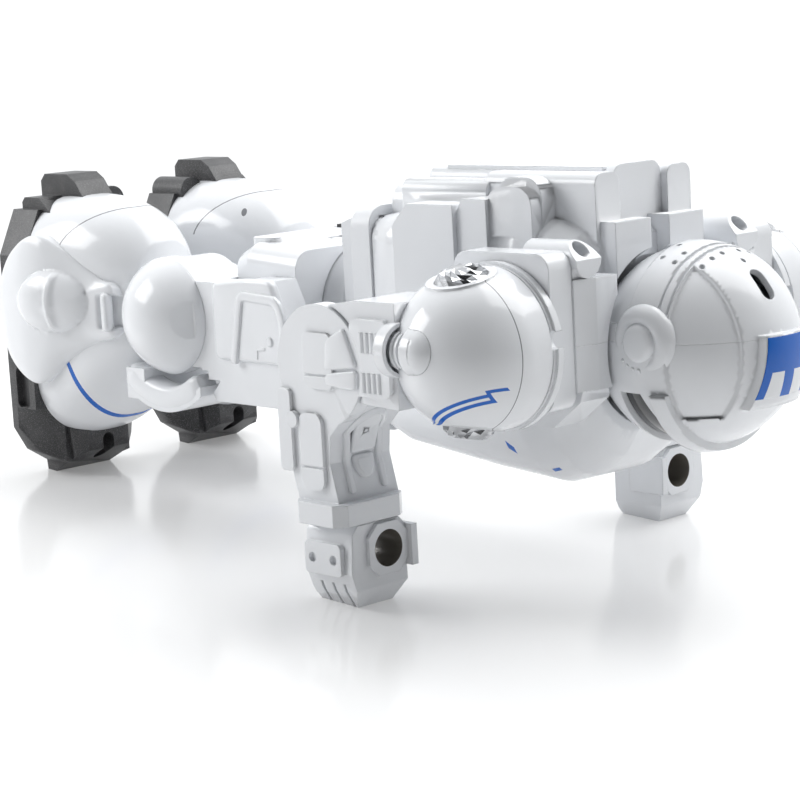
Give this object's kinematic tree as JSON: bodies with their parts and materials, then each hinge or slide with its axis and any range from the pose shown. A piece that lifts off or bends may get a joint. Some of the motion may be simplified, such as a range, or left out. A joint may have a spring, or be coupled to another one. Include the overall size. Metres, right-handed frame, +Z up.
{
  "type": "humanoid robot toy",
  "caption": "White toy robot in a push-up pose: round helmet head, domed shoulders, bent arms with gripping fists, bending waist, hinged knees and dark soles with rollers.",
  "frame": {"origin": "middle of the bounding box, at floor level", "axes": "+X towards the head, +Y to the robot's left, +Z up; the robot's back faces up"},
  "size_m": [0.3708, 0.2124, 0.1566],
  "materials": {
    "white_shell": "gloss",
    "white_satin": "satin",
    "sole_dark": "grained",
    "wheel_rubber": "matte",
    "blue_print": "gloss",
    "visor_dark": "polished",
    "lens_clear": "faceted",
    "pin_steel": "brushed",
    "inner_black": "matte",
    "cell_wrap": "gloss"
  },
  "bodies": {
    "torso": {"torso_back_shell": "white_shell", "torso_chest_shell": "white_shell", "battery_door": "white_shell", "battery_cells": "cell_wrap", "neck_gearbox": "inner_black", "waist_rim": "white_satin", "waist_hinge_pin": "pin_steel", "shoulder_plate_L": "white_shell", "shoulder_plate_R": "white_shell", "thruster_pipe_L": "white_shell", "thruster_pipe_R": "white_shell", "shoulder_gearbox_L": "inner_black", "shoulder_gearbox_R": "inner_black"},
    "head": {"helmet_back_shell": "white_shell", "helmet_front_shell": "white_shell", "visor": "visor_dark", "ear_disc_L": "white_shell", "ear_disc_R": "white_shell", "crest_panel": "blue_print", "neck_shaft": "inner_black", "head_speaker": "inner_black"},
    "waist": {"waist_barrel": "white_satin", "waist_drum": "white_satin"},
    "pelvis": {"pelvis_back_shell": "white_shell", "pelvis_front_shell": "white_shell", "thigh_L": "white_shell", "thigh_R": "white_shell", "knee_cap_L": "white_shell", "knee_cap_R": "white_shell", "knee_pin_L": "pin_steel", "knee_pin_R": "pin_steel"},
    "switch": {"power_switch": "inner_black"},
    "upper_arm_L": {"shoulder_dome_L": "white_shell", "shoulder_lens_back_L": "lens_clear", "shoulder_lens_front_L": "lens_clear", "upper_arm_L": "white_shell"},
    "forearm_L": {"forearm_L": "white_shell", "elbow_pin_L": "pin_steel"},
    "fist_L": {"fist_L": "white_shell"},
    "lower_leg_L": {"shin_L": "white_shell", "boot_L": "white_shell", "sole_L": "sole_dark", "ankle_guard_L": "white_shell"},
    "toe_wheel_L": {"toe_wheel_L": "wheel_rubber"},
    "heel_wheel_L": {"heel_wheel_L": "wheel_rubber"},
    "upper_arm_R": {"shoulder_dome_R": "white_shell", "shoulder_lens_back_R": "lens_clear", "shoulder_lens_front_R": "lens_clear", "upper_arm_R": "white_shell"},
    "forearm_R": {"forearm_R": "white_shell", "elbow_pin_R": "pin_steel"},
    "fist_R": {"fist_R": "white_shell"},
    "lower_leg_R": {"shin_R": "white_shell", "boot_R": "white_shell", "sole_R": "sole_dark", "ankle_guard_R": "white_shell"},
    "toe_wheel_R": {"toe_wheel_R": "wheel_rubber"},
    "heel_wheel_R": {"heel_wheel_R": "wheel_rubber"}
  },
  "joints": [
    {"name": "head_turn", "type": "hinge", "parent": "torso", "child": "head", "pos_m": [0.14518, 0, 0.09522], "axis": [0.9969, 0, 0.0785], "range_deg": [-40, 40]},
    {"name": "waist_bend", "type": "hinge", "parent": "torso", "child": "waist", "pos_m": [0.00916, 0, 0.09014], "axis": [0, -1, 0], "range_deg": [0, 25]},
    {"name": "waist_turn", "type": "hinge", "parent": "waist", "child": "pelvis", "pos_m": [-0.03063, 0, 0.086], "axis": [0.9969, 0, 0.0785], "range_deg": [-30, 30]},
    {"name": "power_switch_slide", "type": "slide", "parent": "pelvis", "child": "switch", "axis": [0, 1, 0], "range_m": [0, 0.0055]},
    {"name": "left_shoulder", "type": "hinge", "parent": "torso", "child": "upper_arm_L", "pos_m": [0.1074, 0.074, 0.09736], "axis": [0, -1, 0], "range_deg": [-20, 110]},
    {"name": "left_elbow", "type": "hinge", "parent": "upper_arm_L", "child": "forearm_L", "pos_m": [0.0545, 0.084, 0.08768], "axis": [0, 1, 0], "range_deg": [0, 85]},
    {"name": "left_wrist", "type": "hinge", "parent": "forearm_L", "child": "fist_L", "pos_m": [0.05747, 0.0845, 0.03074], "axis": [-0.0785, 0, 0.9969], "range_deg": [-90, 90]},
    {"name": "left_knee", "type": "hinge", "parent": "pelvis", "child": "lower_leg_L", "pos_m": [-0.08788, 0.037, 0.08049], "axis": [0, 1, 0], "range_deg": [0, 45]},
    {"name": "left_toe_wheel_roll", "type": "hinge", "parent": "lower_leg_L", "child": "toe_wheel_L", "pos_m": [-0.17283, 0.037, 0.04472], "axis": [0, 1, 0], "continuous": true},
    {"name": "left_heel_wheel_roll", "type": "hinge", "parent": "lower_leg_L", "child": "heel_wheel_L", "pos_m": [-0.17613, 0.037, 0.08659], "axis": [0, 1, 0], "continuous": true},
    {"name": "right_shoulder", "type": "hinge", "parent": "torso", "child": "upper_arm_R", "pos_m": [0.1074, -0.074, 0.09736], "axis": [0, -1, 0], "range_deg": [-20, 110]},
    {"name": "right_elbow", "type": "hinge", "parent": "upper_arm_R", "child": "forearm_R", "pos_m": [0.0545, -0.084, 0.08768], "axis": [0, 1, 0], "range_deg": [0, 85]},
    {"name": "right_wrist", "type": "hinge", "parent": "forearm_R", "child": "fist_R", "pos_m": [0.05747, -0.0845, 0.03074], "axis": [-0.0785, 0, 0.9969], "range_deg": [-90, 90]},
    {"name": "right_knee", "type": "hinge", "parent": "pelvis", "child": "lower_leg_R", "pos_m": [-0.08788, -0.037, 0.08049], "axis": [0, 1, 0], "range_deg": [0, 45]},
    {"name": "right_toe_wheel_roll", "type": "hinge", "parent": "lower_leg_R", "child": "toe_wheel_R", "pos_m": [-0.17283, -0.037, 0.04472], "axis": [0, 1, 0], "continuous": true},
    {"name": "right_heel_wheel_roll", "type": "hinge", "parent": "lower_leg_R", "child": "heel_wheel_R", "pos_m": [-0.17613, -0.037, 0.08659], "axis": [0, 1, 0], "continuous": true}
  ]
}
